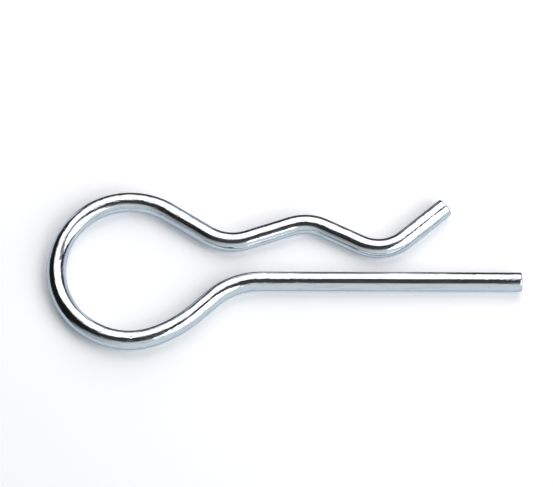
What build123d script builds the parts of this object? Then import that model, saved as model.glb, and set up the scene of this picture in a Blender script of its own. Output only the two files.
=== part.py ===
from build123d import *
from math import cos, radians, sin
import os

# Hitch clip: one length of round spring wire, bent flat into an R.
# The straight leg goes through a shaft's cross hole, and the waved leg snaps over the outside of the shaft.

# Sizes in millimetres and degrees.
# A run is angled from the straight leg, a radius is to the middle of the wire,
# and a gap is the clear space between the two legs.

# Wire
wire_diameter = 4.0
sheared_edge_radius = 0.35

# Straight leg, and the ramp that leads from it down into the loop
straight_leg_length = 54.0
leg_bend_radius = 15.2
ramp_angle = 41.9
ramp_length = 5.0

# Loop, which opens and closes as a spring. It is coiled round, after a slacker bend where the wire enters.
loop_entry_radius = 25.0
loop_entry_angle = 22.3
loop_radius = 15.2

# Neck, where the waved leg comes down towards the straight leg on its way out of the loop
neck_angle = 31.9
neck_bend_radius = 9.9
neck_gap = 4.6

# Seat, the hump that lies over the shaft
seat_rise_angle = 18.4
seat_fall_angle = 25.3
seat_bend_radius = 9.1
seat_gap = 8.6

# Nose, the narrow place that the shaft has to snap past, and the flared end that leads it in
nose_bend_radius = 8.6
nose_gap = 3.3
flare_angle = 40.3
flare_length = 11.1


def crest(bend_radius, slope):
    """Height between the top or bottom of a bend and the point where it meets a run of this slope."""
    return bend_radius * (1 - cos(radians(slope)))


def run(height, slope):
    """Length of a straight run that climbs or drops this height at this slope."""
    return height / sin(radians(slope))


def ahead(edge, length):
    """Straight run on from the end of an edge, in the edge's own direction."""
    return PolarLine(edge @ 1, length, direction=edge % 1)


def bend(edge, radius, turn):
    """Bend on from the end of an edge. A positive turn is to the left."""
    return JernArc(edge @ 1, edge % 1, radius, turn)


def bent_centreline():
    """The middle of the wire, from the tip of the straight leg round to the flared end."""
    loop_turn = 180 + ramp_angle + neck_angle - loop_entry_angle
    neck_height = neck_gap + wire_diameter
    seat_height = seat_gap + wire_diameter
    nose_height = nose_gap + wire_diameter

    with BuildLine() as wire:
        straight_leg = Line((0, 0), (-straight_leg_length, 0))
        leg_bend = bend(straight_leg, leg_bend_radius, ramp_angle)
        ramp = ahead(leg_bend, ramp_length)

        loop_entry = bend(ramp, loop_entry_radius, -loop_entry_angle)
        loop = bend(loop_entry, loop_radius, -loop_turn)

        neck_drop = (loop @ 1).Y - neck_height - crest(neck_bend_radius, neck_angle)
        neck_run = ahead(loop, run(neck_drop, neck_angle))
        neck_bend = bend(neck_run, neck_bend_radius, neck_angle + seat_rise_angle)

        rise = seat_height - neck_height
        rise -= crest(neck_bend_radius, seat_rise_angle) + crest(seat_bend_radius, seat_rise_angle)
        rise_run = ahead(neck_bend, run(rise, seat_rise_angle))
        seat_bend = bend(rise_run, seat_bend_radius, -seat_rise_angle - seat_fall_angle)

        fall = seat_height - nose_height
        fall -= crest(seat_bend_radius, seat_fall_angle) + crest(nose_bend_radius, seat_fall_angle)
        fall_run = ahead(seat_bend, run(fall, seat_fall_angle))
        nose_bend = bend(fall_run, nose_bend_radius, seat_fall_angle + flare_angle)
        ahead(nose_bend, flare_length)
    return wire.line


def clip_wire():
    """The wire swept along its centreline, with the edges of both sheared ends slightly rounded."""
    centreline = bent_centreline()
    section = (centreline ^ 0) * Circle(wire_diameter / 2)
    wire = sweep(section, path=centreline)
    sheared_ends = wire.faces().filter_by(GeomType.PLANE)
    return fillet(sheared_ends.edges(), sheared_edge_radius)


def lying_flat(wire):
    """The clip on its side, with the origin under the middle of its box and +X along the straight leg."""
    box = wire.bounding_box()
    return Pos(-box.center().X, -box.center().Y, -box.min.Z) * wire


os.makedirs("parts", exist_ok=True)
export_step(lying_flat(clip_wire()), "parts/clip_wire.step")
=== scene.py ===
import cmath
from math import ceil, cos, pi, radians, sin, tan

import bpy
from bpy.props import FloatProperty, FloatVectorProperty, IntProperty, PointerProperty
from mathutils import Matrix, Vector


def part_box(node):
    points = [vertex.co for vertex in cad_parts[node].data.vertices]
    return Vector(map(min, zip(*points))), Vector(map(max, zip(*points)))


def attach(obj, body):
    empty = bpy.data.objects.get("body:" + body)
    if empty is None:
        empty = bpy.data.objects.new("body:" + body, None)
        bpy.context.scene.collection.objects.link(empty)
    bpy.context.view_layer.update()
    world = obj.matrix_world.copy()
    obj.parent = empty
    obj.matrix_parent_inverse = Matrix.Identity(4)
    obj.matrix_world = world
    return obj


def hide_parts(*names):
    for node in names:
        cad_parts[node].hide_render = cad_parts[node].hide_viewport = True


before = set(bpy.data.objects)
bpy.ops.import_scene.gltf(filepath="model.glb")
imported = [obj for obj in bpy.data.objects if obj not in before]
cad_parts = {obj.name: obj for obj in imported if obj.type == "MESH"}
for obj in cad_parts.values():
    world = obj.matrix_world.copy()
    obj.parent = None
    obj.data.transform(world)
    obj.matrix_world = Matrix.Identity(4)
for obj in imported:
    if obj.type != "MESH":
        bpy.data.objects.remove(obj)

bl_info = {
    "name": "Hitch R Clip",
    "version": (1, 0, 0),
    "blender": (4, 5, 0),
    "location": "3D View > Sidebar > Hitch Clip",
    "description": "Bends the clip from one length of zinc plated spring wire and lights it on a pale floor",
    "category": "Object",
}

NODE = "clip_wire"
SLOT = "zinc_plated_wire"
MM = 0.001

# Places and distances, in metres
PICTURE_MIDDLE = Vector((-0.00167, 0.00618, 0.002))
LOOP_NICK = Vector((-0.0316, -0.01513, 0.0040))
LOOP_NICK_RADIUS = 0.45 * MM
FLOOR_HALF = 1.5
CAMERA_REACH = 10.0

# The metal shows the floor up to the first of these distances and none of it past the second
FLOOR_SHOWN_IN_METAL = (1.8 * MM, 4.5 * MM)

# The grey of the sheared ends comes in between these two distances from the wire's end
SHEARED_FADE = (0.16 * MM, 0.02 * MM)

# The lines that the shear leaves are drawn out along Z
SHEAR_LINES_UPRIGHT = (1.0, 1.0, 0.06)

# The largest turn between two knots of the middle line, and the curve's steps from one knot to the next
LARGEST_TURN = radians(30)
STEPS_BETWEEN_KNOTS = 24

# Each softbox: its middle seen from the picture's middle, the ways of its two sides, and their lengths
SOFTBOXES = (
    ("softbox_behind", (0.036, 0.600, 0.359), (0.990, 0.120, -0.076), (-0.140, 0.912, -0.385), (0.855, 0.997)),
    ("softbox_right", (0.495, -0.142, 0.440), (0.934, 0.067, -0.352), (0.202, 0.714, 0.671), (0.640, 0.587)),
)

# Where the room changes from one tone to the next, by the X, Y or Z of the way that is looked along
LEFT_WALL_TO_CEILING = (-0.45, -0.05)
CORNER_BY_Y = (0.55, 0.85)
CORNER_BY_X = (0.30, 0.60)
DIM_TO_FULL_FRONT = (-0.75, 0.15)
CEILING_TO_FRONT = (-0.50, -0.80)
LOW_LEFT_TO_FRONT = (-0.80, -0.30)
LOW_ROUND_TO_BEHIND = (0.89, 0.95)
HIGH_TO_LOW = (0.0, -0.18)

# How far the front wall's top edge leans and bows, and the low dark part behind leans, for each part of X
FRONT_LEAN = 0.065
FRONT_BOW = 0.185
BEHIND_LEAN = 0.06

# Parts of the front wall's tone, in the far right corner and at the front wall's left end
CORNER_SHARE = 0.30
DIM_FRONT_SHARE = 0.55


# Sizes and colours


def length(name, description, default_mm):
    """A length that is written in millimetres here and kept in metres, as Blender does."""
    return FloatProperty(
        name=name,
        description=description,
        default=default_mm * MM,
        min=0.0,
        precision=5,
        subtype="DISTANCE",
        unit="LENGTH",
    )


def angle(name, description, default_degrees):
    """An angle that is written in degrees here and kept in radians."""
    return FloatProperty(
        name=name, description=description, default=radians(default_degrees), subtype="ANGLE", unit="ROTATION"
    )


def amount(name, description, default, highest=1.0):
    return FloatProperty(name=name, description=description, default=default, min=0.0, max=highest, precision=3)


def colour(name, description, default):
    return FloatVectorProperty(
        name=name, description=description, default=default, min=0.0, max=1.0, size=3, subtype="COLOR"
    )


class ClipShape(bpy.types.PropertyGroup):
    """The bends of the wire, the same as in the CAD part."""

    wire_diameter: length("Wire Diameter", "Across the wire", 4.0)
    sheared_edge_radius: length("Sheared Edge", "Rounding of the edge of both sheared ends", 0.35)

    straight_leg_length: length("Straight Leg", "Straight part that goes through the cross hole", 54.0)
    leg_bend_radius: length("Leg Bend", "Radius where the leg turns down into the ramp", 15.2)
    ramp_slope: angle("Ramp Slope", "Slope of the run from the leg down into the loop", 41.9)
    ramp_length: length("Ramp", "Straight part between the leg's bend and the loop", 5.0)

    loop_entry_radius: length("Loop Entry", "Radius of the slacker bend where the wire enters the loop", 25.0)
    loop_entry_turn: angle("Loop Entry Turn", "How far the slacker bend turns", 22.3)
    loop_radius: length("Loop", "Radius of the loop that springs", 15.2)

    neck_slope: angle("Neck Slope", "Slope of the run out of the loop", 31.9)
    neck_bend_radius: length("Neck Bend", "Radius of the low bend next to the loop", 9.9)
    neck_gap: length("Neck Gap", "Clear space between the legs at the neck", 4.6)

    seat_rise_slope: angle("Seat Rise", "Slope up from the neck to the seat", 18.4)
    seat_fall_slope: angle("Seat Fall", "Slope down from the seat to the nose", 25.3)
    seat_bend_radius: length("Seat Bend", "Radius over the shaft", 9.1)
    seat_gap: length("Seat Gap", "Clear space between the legs at the seat", 8.6)

    nose_bend_radius: length("Nose Bend", "Radius of the bend that snaps past the shaft", 8.6)
    nose_gap: length("Nose Gap", "Clear space between the legs at the nose", 3.3)
    flare_slope: angle("Flare Slope", "Slope of the end that leads the shaft in", 40.3)
    flare_length: length("Flare", "Straight part of the flared end", 11.1)


class WireMesh(bpy.types.PropertyGroup):
    """How finely the wire is meshed."""

    ring_spacing: length("Ring Spacing", "Distance along the wire from one ring of points to the next", 0.45)
    facets: IntProperty(name="Facets", description="Points round the wire", default=72, min=8, max=256)
    edge_rings: IntProperty(
        name="Edge Rings", description="Rings in the rounding of each sheared edge", default=6, min=1
    )


class ZincFinish(bpy.types.PropertyGroup):
    """Bright zinc plate over drawn wire."""

    zinc: colour("Zinc", "Colour of the bright plate", (0.80, 0.82, 0.85))
    thin_zinc: colour("Thin Zinc", "Colour where the plate is thinner or fingered", (0.70, 0.72, 0.75))
    sheared_zinc: colour("Sheared Zinc", "Colour of the two sheared end faces", (0.56, 0.57, 0.59))
    roughness: amount("Roughness", "Blur of the reflections in the plate", 0.07)
    thin_roughness: amount("Thin Roughness", "Blur where the plate is thinner or fingered", 0.22)
    sheared_roughness: amount("Sheared Roughness", "Blur of the two sheared end faces", 0.36)
    plating_waves: length("Plating Waves", "Depth of the plate's slow unevenness", 0.012)
    scuffs: length("Scuffs", "Depth of the short scuffs that the wire picks up as it is bent", 0.05)
    streaks: length("Streaks", "Depth of the streaks that handling rubs into the plate along the wire", 0.022)
    draw_marks: length("Draw Marks", "Depth of the fine lines that the drawing die leaves along the wire", 0.0025)
    shear_lines: length("Shear Lines", "Depth of the lines that the shear leaves across the end faces", 0.02)
    nick: length("Nick", "Depth of the small nick in the loop", 0.08)


class Studio(bpy.types.PropertyGroup):
    """Floor, softboxes, room and camera."""

    floor: colour("Floor", "Colour of the floor", (0.893, 0.885, 0.903))
    # Painted reflection: a darker, bluer tone than the floor's own colour, shown only where the metal reflects the
    # floor close by
    painted_floor_reflection: colour("Floor in Metal", "Colour of the floor where the metal shows it", (0.50, 0.56, 0.62))
    floor_gain: amount("Floor Gain", "How much lighter the floor is shown than it is lit", 1.5, 4.0)
    softbox_behind: amount("Softbox Behind", "Brightness of the large softbox behind the clip", 1.50, 10.0)
    softbox_right: amount(
        "Softbox Right", "Brightness of the softbox to the right, which throws the shadow", 2.3, 10.0
    )
    front_wall: colour("Front Wall", "Pale side of the room, in front of the clip", (0.66, 0.74, 0.745))
    ceiling: colour("Ceiling", "Dark room overhead and to the right", (0.045, 0.046, 0.048))
    left_wall: colour("Left Wall", "Black side of the room, to the left", (0.010, 0.010, 0.010))
    low_front: colour("Low Front", "Pale room low down in front and to the right", (0.63, 0.73, 0.82))
    low_behind: colour(
        "Low Behind", "Dark room low down behind, which gives the wire its dark outline", (0.065, 0.066, 0.068)
    )
    low_left: colour("Low Left", "Grey room low down to the left", (0.52, 0.60, 0.70))
    camera_elevation: angle("Camera Elevation", "Angle of the view above the floor", 70.0)
    camera_roll: angle("Camera Roll", "Turn of the picture about its middle", 0.208)
    camera_distance: length("Camera Distance", "From the middle of the picture to the camera", 1275.5)
    lens_mm: FloatProperty(name="Lens", description="Focal length in millimetres", default=400.0, min=10.0)


# Nodes and objects


def feed(tree, socket, value):
    """Gives a socket a plain value, or links another node's output to it."""
    if isinstance(value, bpy.types.NodeSocket):
        tree.links.new(value, socket)
    else:
        socket.default_value = value


def put(tree, kind, feeds=None, **settings):
    """Adds a node with these settings and these feeds."""
    node = tree.nodes.new(kind)
    for name, value in settings.items():
        setattr(node, name, value)
    for name, value in (feeds or {}).items():
        feed(tree, node.inputs[name], value)
    return node


def calc(tree, operation, *values):
    """The output of a Math node."""
    return put(tree, "ShaderNodeMath", dict(enumerate(values)), operation=operation).outputs[0]


def eased(tree, value, change):
    """Goes smoothly from 0 where the value is the first of the change's two numbers to 1 at the second."""
    start, end = change
    feeds = {"Value": value, "From Min": start, "From Max": end}
    return put(tree, "ShaderNodeMapRange", feeds, interpolation_type="SMOOTHSTEP").outputs["Result"]


def mixed(tree, factor, first, second):
    """The output of a colour Mix node. A tone is three numbers or another node's output."""
    node = put(tree, "ShaderNodeMix", {"Factor": factor}, data_type="RGBA")
    sockets = {socket.identifier: socket for socket in (*node.inputs, *node.outputs)}
    for name, tone in (("A_Color", first), ("B_Color", second)):
        feed(tree, sockets[name], tone if isinstance(tone, bpy.types.NodeSocket) else (*tone, 1.0))
    return sockets["Result_Color"]


def mixed_shader(tree, factor, first, second):
    return put(tree, "ShaderNodeMixShader", {0: factor, 1: first, 2: second}).outputs[0]


def emptied(owner):
    """The node tree of a new material or world, with no nodes in it."""
    owner.use_nodes = True
    owner.node_tree.nodes.clear()
    return owner.node_tree


def added(name, data):
    """A new object in the scene, made of this data."""
    thing = bpy.data.objects.new(name, data)
    bpy.context.scene.collection.objects.link(thing)
    return thing


# The wire's middle line


class Route:
    """Runs and bends laid end to end as the knots of a Bezier curve, with x and y as one complex number."""

    def __init__(self, start, heading):
        self.place = start
        self.way = heading
        self.knots = [[start, start, start]]

    def step(self, place, way, reach):
        """On to this place and heading, with both handles as long as the reach."""
        self.knots[-1][2] = self.place + self.way * reach
        self.knots.append([place - way * reach, place, place + way * reach])
        self.place, self.way = place, way

    def run(self, distance):
        self.step(self.place + self.way * distance, self.way, distance / 3)

    def bend(self, radius, turn):
        """Turns left for a positive turn, in equal pieces, and returns the bend's centre."""
        side = 1j if turn > 0 else -1j
        centre = self.place + self.way * side * radius
        pieces = ceil(abs(turn) / LARGEST_TURN)
        reach = 4 / 3 * tan(abs(turn) / pieces / 4) * radius
        for _ in range(pieces):
            way = self.way * cmath.rect(1, turn / pieces)
            self.step(centre - way * side * radius, way, reach)
        return centre


def crest(radius, slope):
    """Height between the top or bottom of a bend and the point where it meets a run of this slope."""
    return radius * (1 - cos(slope))


def middle_line(clip):
    """Knots of the wire's middle line, from the tip of the straight leg, and the centre of the loop."""
    route = Route(0, -1)
    route.run(clip.straight_leg_length)
    route.bend(clip.leg_bend_radius, clip.ramp_slope)
    route.run(clip.ramp_length)
    route.bend(clip.loop_entry_radius, -clip.loop_entry_turn)
    loop_centre = route.bend(clip.loop_radius, -(pi + clip.ramp_slope + clip.neck_slope - clip.loop_entry_turn))

    neck_height = clip.neck_gap + clip.wire_diameter
    seat_height = clip.seat_gap + clip.wire_diameter
    nose_height = clip.nose_gap + clip.wire_diameter

    drop = route.place.imag - neck_height - crest(clip.neck_bend_radius, clip.neck_slope)
    route.run(drop / sin(clip.neck_slope))
    route.bend(clip.neck_bend_radius, clip.neck_slope + clip.seat_rise_slope)

    rise = seat_height - neck_height - crest(clip.neck_bend_radius + clip.seat_bend_radius, clip.seat_rise_slope)
    route.run(rise / sin(clip.seat_rise_slope))
    route.bend(clip.seat_bend_radius, -clip.seat_rise_slope - clip.seat_fall_slope)

    fall = seat_height - nose_height - crest(clip.seat_bend_radius + clip.nose_bend_radius, clip.seat_fall_slope)
    route.run(fall / sin(clip.seat_fall_slope))
    route.bend(clip.nose_bend_radius, clip.seat_fall_slope + clip.flare_slope)
    route.run(clip.flare_length)
    return route.knots, loop_centre


def middle_line_curve(clip):
    """The middle line as a curve, where the CAD wire lies."""
    low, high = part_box(NODE)
    knots, loop_centre = middle_line(clip)
    shift = complex(high.x, (low.y + high.y) / 2 - loop_centre.imag)

    curve = bpy.data.curves.new("wire_middle_line", "CURVE")
    curve.dimensions = "3D"
    curve.resolution_u = STEPS_BETWEEN_KNOTS
    spline = curve.splines.new("BEZIER")
    spline.bezier_points.add(len(knots) - 1)
    for point, knot in zip(spline.bezier_points, knots):
        behind, place, ahead = [Vector((z.real, z.imag, clip.wire_diameter / 2)) for z in [k + shift for k in knot]]
        point.handle_left_type = point.handle_right_type = "FREE"
        point.handle_left, point.co, point.handle_right = behind, place, ahead
    return curve


# The wire


def drawn_wire_tree():
    """Geometry nodes that sweep a round wire along a curve and round the edges of its sheared ends.

    Rings lie evenly along the wire and close together in the rounding. For the marks in the finish, each point
    keeps how far along the wire it is, how far from the nearer end, and its place round the wire.
    """
    tree = bpy.data.node_groups.new("Drawn Wire", "GeometryNodeTree")
    tree.is_modifier = True
    for name, kind in (
        ("Middle Line", "Geometry"),
        ("Wire Diameter", "Float"),
        ("Sheared Edge", "Float"),
        ("Ring Spacing", "Float"),
        ("Facets", "Int"),
        ("Edge Rings", "Int"),
        ("Finish", "Material"),
    ):
        tree.interface.new_socket(name, in_out="INPUT", socket_type="NodeSocket" + kind)
    tree.interface.new_socket("Wire", in_out="OUTPUT", socket_type="NodeSocketGeometry")
    given = tree.nodes.new("NodeGroupInput").outputs
    line, edge, edge_rings = given["Middle Line"], given["Sheared Edge"], given["Edge Rings"]
    radius = calc(tree, "DIVIDE", given["Wire Diameter"], 2.0)

    # Rings, counted from one end to the other, with a whole number of spaces between the two roundings
    whole = put(tree, "GeometryNodeCurveLength", {"Curve": line}).outputs["Length"]
    plain = calc(tree, "SUBTRACT", whole, calc(tree, "MULTIPLY", edge, 2.0))
    spaces = calc(tree, "ROUND", calc(tree, "DIVIDE", plain, given["Ring Spacing"]))
    last = calc(tree, "ADD", spaces, calc(tree, "MULTIPLY", edge_rings, 2.0))
    count = calc(tree, "ADD", last, 1.0)
    index = tree.nodes.new("GeometryNodeInputIndex").outputs[0]

    def turn(steps):
        """The part of a quarter turn that a ring has made over the rounding, this many steps from the end."""
        share = calc(tree, "DIVIDE", calc(tree, "MINIMUM", steps, edge_rings), edge_rings)
        return calc(tree, "MULTIPLY", share, pi / 2)

    first_turn = turn(index)
    last_turn = turn(calc(tree, "SUBTRACT", last, index))

    # How far along the wire each ring lies, and how far from the nearer end
    passed = calc(tree, "MAXIMUM", calc(tree, "SUBTRACT", index, edge_rings), 0.0)
    passed = calc(tree, "MULTIPLY", calc(tree, "DIVIDE", calc(tree, "MINIMUM", passed, spaces), spaces), plain)
    into_first = calc(tree, "SUBTRACT", edge, calc(tree, "MULTIPLY", edge, calc(tree, "COSINE", first_turn)))
    into_last = calc(tree, "MULTIPLY", edge, calc(tree, "COSINE", last_turn))
    along = calc(tree, "ADD", calc(tree, "ADD", into_first, passed), into_last)
    to_end = calc(tree, "MINIMUM", along, calc(tree, "SUBTRACT", whole, along))

    # Size of each ring against the full wire
    both_sines = calc(tree, "ADD", calc(tree, "SINE", first_turn), calc(tree, "SINE", last_turn))
    short = calc(tree, "SUBTRACT", 2.0, both_sines)
    size = calc(tree, "SUBTRACT", 1.0, calc(tree, "MULTIPLY", short, calc(tree, "DIVIDE", edge, radius)))

    def keeping(points, name, value, kind="FLOAT"):
        """The same points, each keeping this value under this name."""
        feeds = {"Geometry": points, "Name": name, "Value": value}
        return put(tree, "GeometryNodeStoreNamedAttribute", feeds, data_type=kind).outputs[0]

    rings = put(tree, "GeometryNodeMeshLine", {"Count": count}).outputs["Mesh"]
    feeds = {"Curves": line, "Length": along}
    spot = put(tree, "GeometryNodeSampleCurve", feeds, mode="LENGTH", use_all_curves=True).outputs["Position"]
    rings = put(tree, "GeometryNodeSetPosition", {"Geometry": rings, "Position": spot}).outputs[0]
    for name, value in (("ring_size", size), ("along", along), ("to_end", to_end)):
        rings = keeping(rings, name, value)
    rings = put(tree, "GeometryNodeMeshToCurve", {"Mesh": rings}).outputs[0]
    rings = put(tree, "GeometryNodeSetCurveNormal", {"Curve": rings}, mode="Z_UP").outputs[0]

    feeds = {"Resolution": given["Facets"], "Radius": radius}
    circle = put(tree, "GeometryNodeCurvePrimitiveCircle", feeds).outputs["Curve"]
    feeds = {"Vector": tree.nodes.new("GeometryNodeInputPosition").outputs[0]}
    around = put(tree, "ShaderNodeVectorMath", feeds, operation="NORMALIZE").outputs[0]
    circle = keeping(circle, "around", around, "FLOAT_VECTOR")

    kept_size = put(tree, "GeometryNodeInputNamedAttribute", {"Name": "ring_size"}, data_type="FLOAT")
    feeds = {"Curve": rings, "Profile Curve": circle, "Scale": kept_size.outputs["Attribute"], "Fill Caps": True}
    wire = put(tree, "GeometryNodeCurveToMesh", feeds).outputs["Mesh"]
    wire = put(tree, "GeometryNodeSetShadeSmooth", {"Geometry": wire}).outputs[0]
    wire = put(tree, "GeometryNodeRealizeInstances", {"Geometry": wire}).outputs[0]
    wire = put(tree, "GeometryNodeSetMaterial", {"Geometry": wire, "Material": given["Finish"]}).outputs[0]
    put(tree, "NodeGroupOutput", {"Wire": wire})
    return tree


def grown(name, host, tree, inputs):
    """What the tree makes of the host, as a plain mesh object. The host goes."""
    modifier = host.modifiers.new("Nodes", "NODES")
    modifier.node_group = tree
    sockets = {item.name: item.identifier for item in tree.interface.items_tree if item.in_out == "INPUT"}
    for label, value in inputs.items():
        modifier[sockets[label]] = value
    host.update_tag()
    bpy.context.view_layer.update()
    depsgraph = bpy.context.evaluated_depsgraph_get()
    mesh = bpy.data.meshes.new_from_object(
        host.evaluated_get(depsgraph), preserve_all_data_layers=True, depsgraph=depsgraph
    )
    if not mesh.polygons:
        raise RuntimeError("the nodes made no faces for " + name)
    host.modifiers.remove(modifier)
    bpy.data.objects.remove(host)
    mesh.name = name
    return added(name, mesh)


# Finish


def zinc_plate(finish, wire_radius):
    """Bright zinc over drawn wire: marks run along the wire, the plate thins and waves, and the ends are sheared."""
    material = bpy.data.materials.new(SLOT)
    material.use_nodes = True
    tree = material.node_tree
    metal = tree.nodes["Principled BSDF"]
    metal.inputs["Metallic"].default_value = 1.0

    def kept(name, output):
        """What the wire's points keep under this name."""
        return put(tree, "ShaderNodeAttribute", attribute_name=name).outputs[output]

    around = put(tree, "ShaderNodeSeparateXYZ", {"Vector": kept("around", "Vector")}).outputs
    along = kept("along", "Fac")
    to_end = kept("to_end", "Fac")
    place = tree.nodes.new("ShaderNodeTexCoord").outputs["Object"]

    def noise(where, size_mm, detail, roughness=0.5):
        feeds = {"Vector": where, "Scale": 1.0 / (size_mm * MM), "Detail": detail, "Roughness": roughness}
        return put(tree, "ShaderNodeTexNoise", feeds).outputs["Fac"]

    def grain(stretch, size_mm, detail, roughness=0.5):
        """Noise on the wire's surface, drawn out along the wire by the stretch."""
        feeds = {
            "X": calc(tree, "MULTIPLY", around["X"], wire_radius),
            "Y": calc(tree, "MULTIPLY", around["Y"], wire_radius),
            "Z": calc(tree, "DIVIDE", along, stretch),
        }
        surface = put(tree, "ShaderNodeCombineXYZ", feeds).outputs[0]
        return noise(surface, size_mm, detail, roughness)

    def patchy(height, patch_mm, change):
        """The height in some stretches of the wire only."""
        patches = grain(stretch=4.0, size_mm=patch_mm, detail=1.0)
        return calc(tree, "MULTIPLY", height, eased(tree, patches, change))

    # Thin or fingered plate, and the sheared end faces, in colour and in blur
    thin = eased(tree, grain(stretch=9.0, size_mm=0.6, detail=4.0, roughness=0.65), (0.44, 0.68))
    sheared = eased(tree, to_end, SHEARED_FADE)
    tone = mixed(tree, thin, finish.zinc, finish.thin_zinc)
    feed(tree, metal.inputs["Base Color"], mixed(tree, sheared, tone, finish.sheared_zinc))
    blur = finish.roughness
    for factor, other in ((thin, finish.thin_roughness), (sheared, finish.sheared_roughness)):
        blur = put(tree, "ShaderNodeMapRange", {"Value": factor, "To Min": blur, "To Max": other}).outputs["Result"]
    feed(tree, metal.inputs["Roughness"], blur)

    # Marks, from the slowest to the finest
    waves = grain(stretch=3.0, size_mm=2.2, detail=2.0)
    scuffs = patchy(grain(stretch=4.0, size_mm=0.5, detail=2.5, roughness=0.65), 6.0, (0.36, 0.60))
    streaks = patchy(grain(stretch=12.0, size_mm=0.22, detail=2.0, roughness=0.6), 9.0, (0.42, 0.62))
    draw_marks = grain(stretch=60.0, size_mm=0.16, detail=3.0, roughness=0.7)
    upright = put(tree, "ShaderNodeMapping", {"Vector": place, "Scale": SHEAR_LINES_UPRIGHT}).outputs[0]
    shear_lines = calc(tree, "MULTIPLY", noise(upright, size_mm=0.22, detail=2.0), sheared)
    from_nick = put(tree, "ShaderNodeVectorMath", {0: place, 1: LOOP_NICK}, operation="DISTANCE").outputs["Value"]
    nick = eased(tree, from_nick, (0.0, LOOP_NICK_RADIUS))

    bump = None
    for height, depth in (
        (waves, finish.plating_waves),
        (scuffs, finish.scuffs),
        (streaks, finish.streaks),
        (draw_marks, finish.draw_marks),
        (shear_lines, finish.shear_lines),
        (nick, finish.nick),
    ):
        node = put(tree, "ShaderNodeBump", {"Height": height, "Distance": depth})
        if bump:
            feed(tree, node.inputs["Normal"], bump)
        bump = node.outputs["Normal"]
    feed(tree, metal.inputs["Normal"], bump)
    return material


# Stage


def pale_floor(studio):
    """A floor that reaches past the view, shown lighter than it is lit, with the clip's shadow.

    The gain is for what the camera sees, straight or in the metal, and never for the light that the floor gives.
    Close by, the metal shows the floor in a painted reflection tone, darker and bluer than the floor's own colour,
    and farther off the low part of the room.
    """
    material = bpy.data.materials.new("pale_floor")
    tree = emptied(material)
    path = tree.nodes.new("ShaderNodeLightPath").outputs
    in_metal = calc(tree, "MAXIMUM", path["Is Glossy Ray"], path["Is Transmission Ray"])
    tone = studio.floor
    # The metal sees the floor in the painted reflection tone and the camera sees the floor's own colour, both raised
    # by the gain
    for factor, shown in ((in_metal, studio.painted_floor_reflection), (path["Is Camera Ray"], studio.floor)):
        tone = mixed(tree, factor, tone, [part * studio.floor_gain for part in shown])
    matt = put(tree, "ShaderNodeBsdfDiffuse", {"Color": tone}).outputs[0]
    clear = tree.nodes.new("ShaderNodeBsdfTransparent").outputs[0]
    far = calc(tree, "MULTIPLY", in_metal, eased(tree, path["Ray Length"], FLOOR_SHOWN_IN_METAL))
    put(tree, "ShaderNodeOutputMaterial", {"Surface": mixed_shader(tree, far, matt, clear)})

    mesh = bpy.data.meshes.new("floor")
    corners_round = [(x * FLOOR_HALF, y * FLOOR_HALF, 0) for x, y in ((-1, -1), (1, -1), (1, 1), (-1, 1))]
    mesh.from_pydata(corners_round, [], [(0, 1, 2, 3)])
    mesh.materials.append(material)
    return added("floor", mesh)


def softbox(name, place, across, along, size, radiance):
    """A rectangular lamp at this place from the middle of the picture, with its sides along these two ways."""
    lamp = bpy.data.lights.new(name, "AREA")
    lamp.shape = "RECTANGLE"
    lamp.size, lamp.size_y = size
    lamp.energy = radiance * size[0] * size[1] * pi
    across, along = Vector(across).normalized(), Vector(along).normalized()
    hung = added(name, lamp)
    hung.matrix_world = Matrix((across, along, across.cross(along))).transposed().to_4x4()
    hung.location = PICTURE_MIDDLE + Vector(place)
    hung.visible_camera = False


def room(studio):
    """White to the camera. To all else it is black to the left, dark overhead and pale in front of the clip.

    Low down, where the metal looks past the floor, it is grey to the left, pale in front and dark behind.
    """
    world = bpy.data.worlds.new("room")
    tree = emptied(world)
    looked_along = tree.nodes.new("ShaderNodeTexCoord").outputs["Generated"]
    way = put(tree, "ShaderNodeSeparateXYZ", {"Vector": looked_along}).outputs

    def toned(value, change, first, second):
        """From the first tone to the second as the value goes through the change."""
        return mixed(tree, eased(tree, value, change), first, second)

    # Overhead and round the sides
    dark = toned(way["X"], LEFT_WALL_TO_CEILING, studio.left_wall, studio.ceiling)
    corner = calc(tree, "MULTIPLY", eased(tree, way["Y"], CORNER_BY_Y), eased(tree, way["X"], CORNER_BY_X))
    dark = mixed(tree, corner, dark, [CORNER_SHARE * part for part in studio.front_wall])
    dim_front = [DIM_FRONT_SHARE * part for part in studio.front_wall]
    pale = toned(way["X"], DIM_TO_FULL_FRONT, dim_front, studio.front_wall)
    lean = calc(tree, "MULTIPLY", way["X"], FRONT_LEAN)
    bow = calc(tree, "MULTIPLY", calc(tree, "ABSOLUTE", way["X"]), FRONT_BOW)
    forward = calc(tree, "SUBTRACT", way["Y"], calc(tree, "ADD", lean, bow))
    high = toned(forward, CEILING_TO_FRONT, dark, pale)

    # Low down, past the floor that the metal shows close by
    flat = put(tree, "ShaderNodeCombineXYZ", {"X": way["X"], "Y": way["Y"]}).outputs[0]
    flat = put(tree, "ShaderNodeVectorMath", {"Vector": flat}, operation="NORMALIZE").outputs[0]
    level = put(tree, "ShaderNodeSeparateXYZ", {"Vector": flat}).outputs
    low = toned(level["X"], LOW_LEFT_TO_FRONT, studio.low_left, studio.low_front)
    behind = calc(tree, "SUBTRACT", level["Y"], calc(tree, "MULTIPLY", level["X"], BEHIND_LEAN))
    low = toned(behind, LOW_ROUND_TO_BEHIND, low, studio.low_behind)

    lit = put(tree, "ShaderNodeBackground", {"Color": toned(way["Z"], HIGH_TO_LOW, high, low), "Strength": 1.0})
    seen = put(tree, "ShaderNodeBackground", {"Color": (1.0, 1.0, 1.0, 1.0), "Strength": 1.0})
    camera_ray = tree.nodes.new("ShaderNodeLightPath").outputs["Is Camera Ray"]
    put(tree, "ShaderNodeOutputWorld", {"Surface": mixed_shader(tree, camera_ray, lit.outputs[0], seen.outputs[0])})
    bpy.context.scene.world = world


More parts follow.
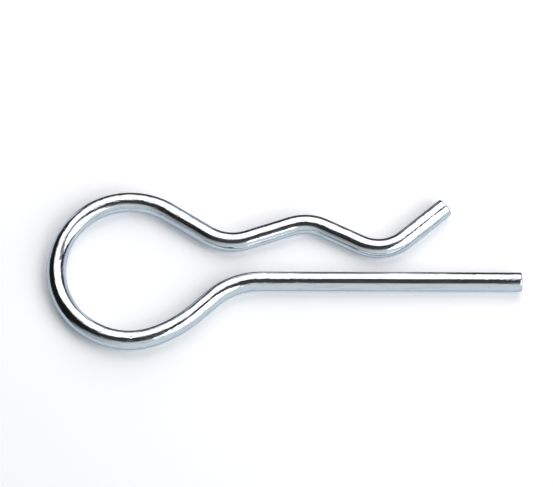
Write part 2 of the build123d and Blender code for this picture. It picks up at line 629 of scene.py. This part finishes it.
def aimed_camera(studio):
    """A camera over the front of the clip, aimed at the middle of the picture."""
    lens = bpy.data.cameras.new("camera")
    lens.lens = studio.lens_mm
    lens.clip_end = CAMERA_REACH
    camera = added("camera", lens)
    back = Vector((0, -cos(studio.camera_elevation), sin(studio.camera_elevation)))
    turn = back.to_track_quat("Z", "Y").to_matrix() @ Matrix.Rotation(studio.camera_roll, 3, "Z")
    camera.matrix_world = turn.to_4x4()
    camera.location = PICTURE_MIDDLE + back * studio.camera_distance
    return camera


# Operators


class HITCHCLIP_OT_bend_wire(bpy.types.Operator):
    """Bend and plate the one wire of the clip"""

    bl_idname = "hitchclip.bend_wire"
    bl_label = "Bend the Wire"

    def execute(self, context):
        scene = context.scene
        clip, mesh = scene.clip_shape, scene.clip_mesh
        wire = grown(
            "bent_wire",
            added("wire_middle_line", middle_line_curve(clip)),
            drawn_wire_tree(),
            {
                "Wire Diameter": clip.wire_diameter,
                "Sheared Edge": clip.sheared_edge_radius,
                "Ring Spacing": mesh.ring_spacing,
                "Facets": mesh.facets,
                "Edge Rings": mesh.edge_rings,
                "Finish": zinc_plate(scene.zinc_finish, clip.wire_diameter / 2),
            },
        )
        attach(wire, "root")
        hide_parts(NODE)
        return {"FINISHED"}


class HITCHCLIP_OT_set_stage(bpy.types.Operator):
    """Lay the floor, hang the softboxes and aim the camera"""

    bl_idname = "hitchclip.set_stage"
    bl_label = "Set the Stage"

    def execute(self, context):
        studio = context.scene.clip_studio
        pale_floor(studio)
        room(studio)
        for name, place, across, along, size in SOFTBOXES:
            softbox(name, place, across, along, size, getattr(studio, name))
        context.scene.camera = aimed_camera(studio)
        context.scene.view_settings.view_transform = "Standard"
        return {"FINISHED"}


class HITCHCLIP_PT_sidebar(bpy.types.Panel):
    """Sizes, finish and studio of the clip"""

    bl_idname = "HITCHCLIP_PT_sidebar"
    bl_label = "Hitch Clip"
    bl_space_type = "VIEW_3D"
    bl_region_type = "UI"
    bl_category = "Hitch Clip"

    def draw(self, context):
        scene, layout = context.scene, self.layout
        layout.use_property_split = True
        for groups, operator in (
            ((scene.clip_shape, scene.clip_mesh, scene.zinc_finish), HITCHCLIP_OT_bend_wire),
            ((scene.clip_studio,), HITCHCLIP_OT_set_stage),
        ):
            for group in groups:
                box = layout.box()
                for name in group.__annotations__:
                    box.prop(group, name)
            layout.operator(operator.bl_idname)


CLASSES = (
    ClipShape,
    WireMesh,
    ZincFinish,
    Studio,
    HITCHCLIP_OT_bend_wire,
    HITCHCLIP_OT_set_stage,
    HITCHCLIP_PT_sidebar,
)


def register():
    for cls in CLASSES:
        bpy.utils.register_class(cls)
    bpy.types.Scene.clip_shape = PointerProperty(type=ClipShape)
    bpy.types.Scene.clip_mesh = PointerProperty(type=WireMesh)
    bpy.types.Scene.zinc_finish = PointerProperty(type=ZincFinish)
    bpy.types.Scene.clip_studio = PointerProperty(type=Studio)


def unregister():
    del bpy.types.Scene.clip_studio
    del bpy.types.Scene.zinc_finish
    del bpy.types.Scene.clip_mesh
    del bpy.types.Scene.clip_shape
    for cls in reversed(CLASSES):
        bpy.utils.unregister_class(cls)


def main():
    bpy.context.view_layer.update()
    register()
    bpy.ops.hitchclip.bend_wire()
    bpy.ops.hitchclip.set_stage()


if __name__ == "__main__":
    main()
